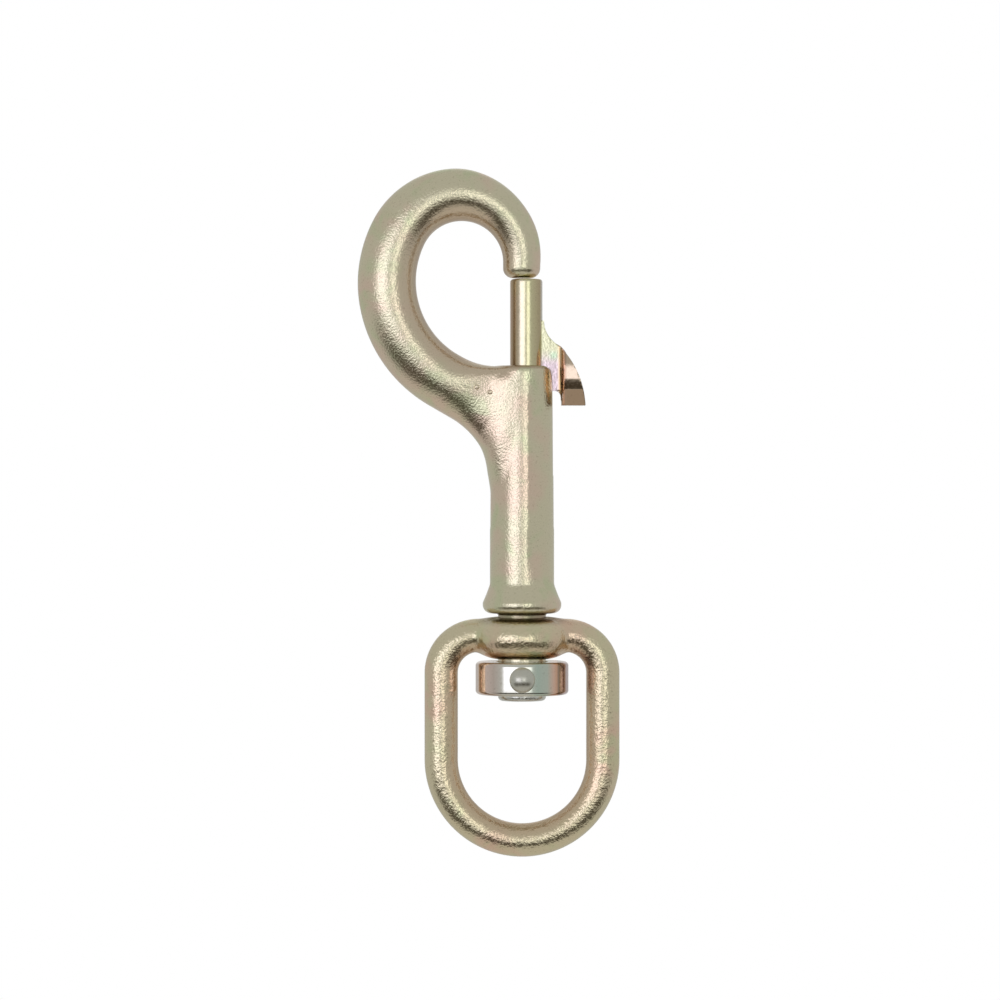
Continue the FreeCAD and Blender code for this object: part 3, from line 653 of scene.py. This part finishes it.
def shell(name, field, low, high, step):
    """The surface where a field is nought, on a cubic lattice, as one closed mesh.

    A cell whose corners differ in sign holds one point, which then slides along the field's
    slope onto the surface, and each lattice edge whose ends differ in sign is crossed by the
    quad of its four cells' points.
    """
    slides, nudge = 8, 0.02
    axes = [np.arange(a, b + step, step) for a, b in zip(low, high)]
    lattice = np.stack(np.meshgrid(*axes, indexing="ij"), axis=-1)
    inside = field(lattice) < 0
    cells = tuple(n - 1 for n in inside.shape)
    count = sum(inside[i:i + cells[0], j:j + cells[1], k:k + cells[2]].astype(int)
                for i in (0, 1) for j in (0, 1) for k in (0, 1))
    mixed = (count > 0) & (count < 8)
    number = np.cumsum(mixed.ravel()).reshape(mixed.shape) - 1
    points = lattice[:-1, :-1, :-1][mixed] + step / 2
    for _ in range(slides):
        slope = np.stack([field(points + nudge * e) - field(points - nudge * e)
                          for e in np.eye(3)], axis=-1) / (2 * nudge)
        steep = np.maximum((slope ** 2).sum(axis=-1, keepdims=True), 0.1)
        move = field(points)[:, None] * slope / steep
        points = points - 0.8 * np.clip(move, -step, step)
    faces = []
    for axis in range(3):
        one, two = [a for a in range(3) if a != axis]
        crossing = inside != np.roll(inside, -1, axis=axis)
        keep = [slice(1, -1)] * 3
        keep[axis] = slice(0, -1)
        at = np.argwhere(crossing[tuple(keep)]) + [0 if a == axis else 1 for a in range(3)]
        corners = []
        for da, db in ((1, 1), (0, 1), (0, 0), (1, 0)):
            offset = np.zeros(3, int)
            offset[one], offset[two] = -da, -db
            corners.append(number[tuple((at + offset).T)])
        quads = np.stack(corners, axis=-1)
        outward = inside[tuple(at.T)] == (axis != 1)
        faces.append(np.where(outward[:, None], quads, quads[:, ::-1]))
    return make_piece(name, points, faces, sharp=30.0)


# ---------------------------------------------------------------- finishes
PIT = (0.16, 0.12, 0.08, 1)             # colour at the bottom of the blasting's pits


class Flow:
    """A socket that Python's own operators work on; each adds a Math node."""

    def __init__(self, web, socket):
        self.web, self.socket = web, socket

    def maths(self, operation, *others):
        """This value and others through one Math node."""
        values = dict(enumerate((self,) + others))
        return self.web.node("ShaderNodeMath", {"operation": operation}, values)

    def __add__(self, other):
        return self.maths("ADD", other)

    def __sub__(self, other):
        return self.maths("SUBTRACT", other)

    def __mul__(self, other):
        return self.maths("MULTIPLY", other)

    __radd__, __rmul__ = __add__, __mul__

    def step(self, start, end):
        """Nought before start, one after end, smooth between; backwards if end is less."""
        flip = end < start
        low, high = min(start, end), max(start, end)
        return self.web.node("ShaderNodeMapRange", {"interpolation_type": "SMOOTHSTEP"}, {
            "Value": self, "From Min": low, "From Max": high,
            "To Min": 1.0 if flip else 0.0, "To Max": 0.0 if flip else 1.0})

    def band(self, low, high, soft):
        """One between low and high, fading over soft on either side."""
        return self.step(low - soft, low + soft) * self.step(high + soft, high - soft)


class Web:
    """The nodes of one material or of the world."""

    def __init__(self, tree):
        self.tree = tree
        tree.nodes.clear()

    def node(self, kind, settings=None, inputs=None, output=0):
        """A node of a kind: its settings are set first, then its sockets or their links."""
        made = self.tree.nodes.new(kind)
        for name, value in (settings or {}).items():
            setattr(made, name, value)
        for name, value in (inputs or {}).items():
            if isinstance(value, Flow):
                self.tree.links.new(value.socket, made.inputs[name])
            else:
                made.inputs[name].default_value = value
        return Flow(self, made.outputs[output]) if made.outputs else None

    def place(self):
        """Where a point lies on the piece, as a vector in metres."""
        return self.node("ShaderNodeTexCoord", output="Object")

    def parts(self, vector):
        """A vector's three numbers."""
        split = self.node("ShaderNodeSeparateXYZ", inputs={0: vector})
        outputs = split.socket.node.outputs
        return [Flow(self, outputs[k]) for k in range(3)]

    def spot(self):
        """A point's X, Y and Z on the piece, in millimetres."""
        return [part * (1 / MM) for part in self.parts(self.place())]

    def noise(self, vector, size, detail, rough=0.55, distort=0.0):
        """Cloudy noise whose blobs are about size millimetres across."""
        return self.node("ShaderNodeTexNoise", inputs={
            "Vector": vector, "Scale": 1 / (size * MM), "Detail": detail,
            "Roughness": rough, "Distortion": distort})

    def dimples(self, vector, size):
        """Rounded dimples about size millimetres apart."""
        return self.node("ShaderNodeTexVoronoi", {"feature": "SMOOTH_F1"}, {
            "Vector": vector, "Scale": 1 / (size * MM), "Smoothness": 0.6})

    def blend(self, share, first, second):
        """Two colours mixed, with the share of the second."""
        return self.node("ShaderNodeMix", {"data_type": "RGBA"},
                         {0: share, 6: first, 7: second}, output=2)

    def bump(self, height, depth, under=None):
        """A normal from a height between nought and one, depth millimetres deep."""
        inputs = {"Height": height, "Distance": depth * MM, "Strength": 1.0}
        if under is not None:
            inputs["Normal"] = under
        return self.node("ShaderNodeBump", inputs=inputs)


def new_material(name):
    """A material with its own empty web of nodes."""
    material = bpy.data.materials.new(name)
    material.use_nodes = True
    return material, Web(material.node_tree)


def plated(name, main, warm, cool, grain, gloss, wave=0.03, size=0.5, dent=0.5, tint=None):
    """A material for bright zinc plate over a shot-blasted surface.

    Clouds a centimetre across shift the colour from main towards warm and cool. Fine noise of
    about size millimetres roughens the surface, grain millimetres deep, and its pits are a
    little darker; sparser dimples go down by dent times that, and broad waves by wave. Gloss
    is the least roughness. A tint, if given, adds the piece's own colours to the film, and
    painted shade, reflections and highlights where the piece has them.
    """
    material, web = new_material(name)
    place = web.place()
    clouds = web.noise(place, 11.0, 2.0)
    drift = web.noise(place, 6.0, 2.0, distort=0.4)
    fine = web.noise(place, size, 2.0, 0.5)
    film = web.blend(clouds.step(0.46, 0.66), main, warm)
    film = web.blend(drift.step(0.50, 0.70) * 0.8, film, cool)
    if tint:
        film = tint(web, film)
    base = web.blend(fine.step(0.42, 0.30) * 0.15, film, PIT)
    rough = gloss + fine.step(0.35, 0.75) * 0.08 + clouds * 0.04
    normal = web.bump(web.noise(place, 3.2, 2.0), wave)
    normal = web.bump(web.dimples(place, size * 2.6), grain * dent, normal)
    normal = web.bump(fine, grain, normal)
    shader = web.node("ShaderNodeBsdfPrincipled", inputs={
        "Base Color": base, "Metallic": 1.0, "Roughness": rough, "Normal": normal})
    web.node("ShaderNodeOutputMaterial", inputs={"Surface": shader})
    return material


def painted_inside_shade(web, film, start, brown, umber):
    """Painted shade: a film that is browner where a bar faces inwards, into its own hollow, and
    umber in the very middle.

    A piece keeps the cosine of each point's turn from the outside of its bar.
    """
    outward = web.node("ShaderNodeAttribute", {"attribute_name": "outward"}, output="Fac")
    film = web.blend(outward.step(start, -0.70) * 0.8, film, brown)
    return web.blend(outward.step(-0.80, -0.97) * 0.6, film, umber)


def forging_tint_and_shade(web, film):
    """Browner with painted shade inside the bend and on the mouth's edge, dark with a painted
    shadow in the swivel's gap, and bare silver at the stem's end.
    """
    # Painted shade: browner, then umber, where the bend's bar faces into its hollow.
    film = painted_inside_shade(web, film, -0.10, (0.74, 0.60, 0.45, 1), (0.50, 0.38, 0.27, 1))
    x, y, height = web.spot()
    # Painted shade: the rounded edge of the barrel's mouth is darker brown.
    rim_shade = height.band(77.2, 78.0, 0.3) * x.band(-4.0, 8.0, 3.0)
    film = web.blend(rim_shade * 0.7, film, (0.46, 0.34, 0.22, 1))
    # Painted shadow: the stem is dark in the gap between the foot's bead and the eye's boss.
    film = web.blend(height.band(27.0, 28.8, 0.4) * 0.6, film, (0.20, 0.14, 0.08, 1))
    return web.blend(height.step(20.0, 18.0), film, (0.72, 0.72, 0.66, 1))


def eye_painted_shade(web, film):
    """Browner with painted shade on the inside of the ring, and dark with a painted shadow on top
    of the boss round the stem, under the foot's bead.
    """
    # Painted shade: browner where the ring's bar faces into its hollow.
    film = painted_inside_shade(web, film, 0.10, (0.74, 0.57, 0.39, 1), (0.52, 0.38, 0.24, 1))
    x, y, z = web.spot()
    # Painted shadow: dark on the boss's top round the stem, under the foot's bead.
    near = (x * x + y * y).step(100.0, 40.0) * z.step(26.2, 28.0)
    return web.blend(near * 0.75, film, (0.16, 0.11, 0.06, 1))


def striped(web, film, value, share, stops):
    """The film mixed with a run of colours; each stop is a place in the run and its colour."""
    ramp = web.node("ShaderNodeValToRGB", inputs={0: value})
    band = ramp.socket.node.color_ramp
    band.elements.remove(band.elements[-1])
    for spot, shade in stops:
        stop = band.elements[0] if spot == stops[0][0] else band.elements.new(spot)
        stop.position, stop.color = spot, (*shade, 1)
    return web.blend(share, film, ramp)


def collar_rainbow_and_reflection(web, film):
    """The clear film's faint rainbow, which changes from one side of the ring to the other, with
    painted light: the very pale pink near the left edge is painted light and the dark brown near
    the right edge a painted dark reflection.
    """
    run = 18.8
    # Painted light in the run: the pale stop at 0.04 and the dark brown stops from 0.88 to 0.905.
    return striped(web, film, web.spot()[0] * (1 / run) + 0.5, 0.88, [
        (0.00, (0.62, 0.50, 0.42)), (0.04, (1.00, 0.86, 0.78)), (0.10, (0.94, 0.74, 0.66)),
        (0.20, (0.70, 0.58, 0.50)), (0.31, (0.80, 0.80, 0.72)), (0.55, (0.80, 0.80, 0.70)),
        (0.66, (0.56, 0.68, 0.58)), (0.76, (0.62, 0.68, 0.58)), (0.83, (0.88, 0.58, 0.44)),
        (0.86, (0.80, 0.46, 0.30)), (0.88, (0.36, 0.24, 0.17)), (0.905, (0.42, 0.30, 0.26)),
        (0.94, (0.78, 0.60, 0.60)), (0.99, (0.60, 0.48, 0.48))])


def plunger_painted_shading(web, film):
    """Painted shade and highlight: browner towards the rod's two sides, lighter down its middle,
    with a painted bright line at the right one's edge.
    """
    # Painted shade and highlight in the run: dark brown near 0.10, lighter from 0.32 to 0.48,
    # white at the right edge.
    across = (web.spot()[0] - PLUNGER_X) * (0.5 / PLUNGER_RADIUS) + 0.5
    return striped(web, film, across, 0.85, [
        (0.00, (0.62, 0.44, 0.32)), (0.10, (0.40, 0.28, 0.16)), (0.22, (0.62, 0.50, 0.34)),
        (0.32, (0.84, 0.76, 0.60)), (0.48, (0.84, 0.80, 0.52)), (0.60, (0.76, 0.74, 0.46)),
        (0.74, (0.68, 0.62, 0.38)), (0.92, (0.52, 0.43, 0.26)), (1.00, (1.00, 1.00, 1.00))])


def lever_rainbow_and_painted_light(web, film):
    """The lever's strong rainbow, pale green above and lilac below, with painted light: orange at
    the pad's root and orange-brown on the web beside the pad are painted reflection, and a dark
    line along their join and the darker pad foot are painted shade.

    The web's colours come first, then the pad's own, the join between the two and its root,
    and last the pad's darker foot.
    and last the pad's darker foot.
    """
    x, y, z = web.spot()
    plate = web.blend(z.step(77.5, 81.5), (0.84, 0.70, 0.74, 1), (0.86, 0.86, 0.58, 1))
    green = z.band(79.2, 80.6, 0.6) * x.band(5.6, 7.0, 0.8)
    plate = web.blend(green * 0.6, plate, (0.56, 0.90, 0.58, 1))
    # Painted reflection: orange-brown on the web next to the pad.
    plate = web.blend(x.step(6.8, 7.4) * 0.9, plate, (0.66, 0.46, 0.26, 1))
    film = web.blend(x.step(8.2, 8.6) * 0.8, film, (0.62, 0.49, 0.36, 1))
    film = web.blend(x.step(7.7, 7.5), film, plate)
    # Painted shade: a dark line along the join of web and pad.
    film = web.blend(x.band(7.7, 8.6, 0.3), film, (0.40, 0.26, 0.18, 1))
    # Painted reflection: orange on the pad's inner face, beside the web.
    root = x.band(7.9, 8.4, 0.2) * y.maths("ABSOLUTE").step(1.2, 1.8)
    film = web.blend(root, film, (0.84, 0.52, 0.35, 1))
    # Painted shade: the pad's foot, on its downward facet, is darker.
    foot = x.step(8.5, 8.8) * z.step(73.3, 72.9)
    return web.blend(foot, film, (0.52, 0.38, 0.26, 1))


# ---------------------------------------------------------------- build
def coat(piece, material):
    """Gives a piece one material, in place of any that it has."""
    piece.data.materials.clear()
    piece.data.materials.append(material)


def dress(piece, material, body, slot, *nodes):
    """Gives a piece its material and body, and hides the nodes it stands for; the slot is not
    used.
    """
    coat(piece, material)
    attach(piece, body)
    if nodes:
        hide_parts(*nodes)


def make_materials():
    """Every finish, by the name of what wears it."""
    return {
        "forging": plated(
            "plated_forging", (0.78, 0.73, 0.53, 1), (0.84, 0.68, 0.53, 1), (0.70, 0.73, 0.48, 1),
            grain=0.068, gloss=0.14, wave=0.030, size=0.37, dent=0.15, tint=forging_tint_and_shade),
        "eye": plated(
            "plated_eye", (0.80, 0.72, 0.50, 1), (0.86, 0.64, 0.48, 1), (0.72, 0.73, 0.46, 1),
            grain=0.098, gloss=0.13, wave=0.050, size=0.46, tint=eye_painted_shade),
        "plunger": plated(
            "plated_plunger", (0.76, 0.68, 0.48, 1), (0.82, 0.66, 0.54, 1), (0.74, 0.74, 0.42, 1),
            grain=0.012, gloss=0.18, wave=0.012, tint=plunger_painted_shading),
        "lever": plated(
            "plated_lever", (0.84, 0.76, 0.60, 1), (0.88, 0.70, 0.56, 1), (0.78, 0.84, 0.60, 1),
            grain=0.016, gloss=0.10, wave=0.020, tint=lever_rainbow_and_painted_light),
        "collar": plated(
            "clear_zinc", (0.70, 0.70, 0.64, 1), (0.74, 0.62, 0.58, 1), (0.60, 0.68, 0.64, 1),
            grain=0.003, gloss=0.10, wave=0.006, tint=collar_rainbow_and_reflection),
        "rivet": plated(
            "rivet_zinc", (0.66, 0.66, 0.58, 1), (0.70, 0.66, 0.56, 1), (0.64, 0.67, 0.60, 1),
            grain=0.012, gloss=0.26),
        "spring": plated(
            "spring_wire", (0.42, 0.42, 0.43, 1), (0.44, 0.43, 0.42, 1), (0.40, 0.41, 0.43, 1),
            grain=0.006, gloss=0.25)}


def outward_of(columns):
    """The cosine of each column's turn round a bar, one outside and minus one inside."""
    return np.cos(np.arange(columns) * TURN / columns)


def make_forging(finish):
    """The hook's forging, its bore and slot cut, and the two pips on its neck."""
    rings = forging_rings()
    forging = skin("hook_forging", rings)
    bend = rings[:, :1, 2] > BEND_FOOT
    mark(forging, "outward", np.append((outward_of(COLUMNS) * bend).ravel(), [0, 0]))
    pips = [skin(f"pip_{n}", pip_rings(rings, x, z)) for n, (x, z) in enumerate(PIPS, start=1)]
    cut(forging, [bore_tool(), slot_tool()])
    for pip in pips:
        dress(pip, finish["forging"], "hook", "plated_forging")
    dress(forging, finish["forging"], "hook", "plated_forging", "hook_body")


def make_eye(finish):
    """The swivel eye, with the stem's hole cut through its boss."""
    rings = eye_rings()
    eye = skin("eye_ring", rings, joined=True)
    mark(eye, "outward", np.tile(outward_of(rings.shape[1]), len(rings)))
    hole = np.array([[SWIVEL_HOLE, BOSS_MIDDLE - 9], [SWIVEL_HOLE, BOSS_MIDDLE + 9]])
    cut(eye, [cutter("hole_tool", turned(hole, 96))])
    dress(eye, finish["eye"], "eye", "plated_eye", "swivel_eye")


def make_pieces():
    """Every piece of the hook, on the body it moves with."""
    finish = make_materials()
    make_forging(finish)
    make_eye(finish)
    collar = skin("collar_ring", collar_rings(), joined=True)
    dress(collar, finish["collar"], "hook", "clear_zinc", "retaining_collar")
    rivet = skin("rivet_dome", rivet_rings())
    dress(rivet, finish["rivet"], "hook", "rivet_steel", "collar_rivet")
    rod = skin("plunger_rod", plunger_rings())
    dress(rod, finish["plunger"], "latch", "plated_plunger", "plunger")
    lever = shell("lever_thumb", lever_distance, (0.9, -4.8, 69.6), (12.9, 4.8, 87.2), 0.16)
    dress(lever, finish["lever"], "latch", "plated_lever", "thumb_lever")
    spring = skin("spring_coil", spring_rings())
    dress(spring, finish["spring"], "hook", "spring_steel", "plunger_spring")
    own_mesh(spring)
    coat(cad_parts["lever_pin"], finish["rivet"])


def make_camera():
    """A long lens level with the hook, square to its plane."""
    lens = bpy.data.cameras.new("camera")
    lens.lens, lens.sensor_width = 120.0, 36.0
    lens.clip_start, lens.clip_end = 0.05, 10.0
    camera = bpy.data.objects.new("camera", lens)
    camera.location = (-0.00436, -0.660, 0.0513)
    camera.rotation_euler = (math.pi / 2, 0, 0)
    bpy.context.scene.collection.objects.link(camera)
    bpy.context.scene.camera = camera


def make_room():
    """A white studio: two soft panels in front, a dim surround, a bright backdrop.

    Directions are degrees sideways, round to the right from straight in front of the hook,
    and degrees high, up from level.
    """
    world = bpy.data.worlds.new("studio")
    bpy.context.scene.world = world
    world.use_nodes = True
    web = Web(world.node_tree)
    x, y, z = web.parts(web.node("ShaderNodeTexCoord", output="Generated"))
    sideways = x.maths("ARCTAN2", y * -1) * math.degrees(1)
    height = z.maths("ARCSINE") * math.degrees(1)
    lifted = height.band(-8, 15, 8)
    left = sideways.band(-48, -10, 4) * lifted
    right = sideways.band(4, 24, 3) * lifted
    table = height.band(-44, -18, 7) * sideways.band(-75, 75, 22)
    backdrop = sideways.maths("ABSOLUTE").step(155, 172) * height.band(-20, 40, 10)
    low = height.step(-30, -55)
    light = web.blend(low, (0.50, 0.50, 0.49, 1), (0.53, 0.51, 0.48, 1))
    light = web.blend(table, light, (0.07, 0.06, 0.045, 1))
    light = web.blend(backdrop, light, (0.70, 0.70, 0.68, 1))
    light = web.blend(left, light, (1.60, 1.58, 1.75, 1))
    light = web.blend(right, light, (1.50, 1.50, 1.50, 1))
    lit = web.node("ShaderNodeBackground", inputs={"Color": light})
    plain = web.node("ShaderNodeBackground", inputs={"Color": (1, 1, 1, 1)})
    seen = web.node("ShaderNodeLightPath", output="Is Camera Ray")
    both = web.node("ShaderNodeMixShader", inputs={0: seen, 1: lit, 2: plain})
    web.node("ShaderNodeOutputWorld", inputs={"Surface": both})


def make_floor():
    """A plain pale floor, wide and well below the hook, that throws no light on it."""
    half, level = 1.15, -0.25
    corners = [(-half, -half, level), (half, -half, level), (half, half, level),
               (-half, half, level)]
    mesh = bpy.data.meshes.new("floor")
    mesh.from_pydata(corners, [], [(0, 1, 2, 3)])
    floor = bpy.data.objects.new("floor", mesh)
    bpy.context.scene.collection.objects.link(floor)
    pale, web = new_material("pale_floor")
    glow = web.node("ShaderNodeEmission", inputs={"Color": (0.93, 0.93, 0.93, 1)})
    web.node("ShaderNodeOutputMaterial", inputs={"Surface": glow})
    mesh.materials.append(pale)
    floor.visible_glossy = floor.visible_diffuse = False


bpy.context.scene.view_settings.view_transform = "Standard"
make_camera()
make_room()
make_floor()
make_pieces()
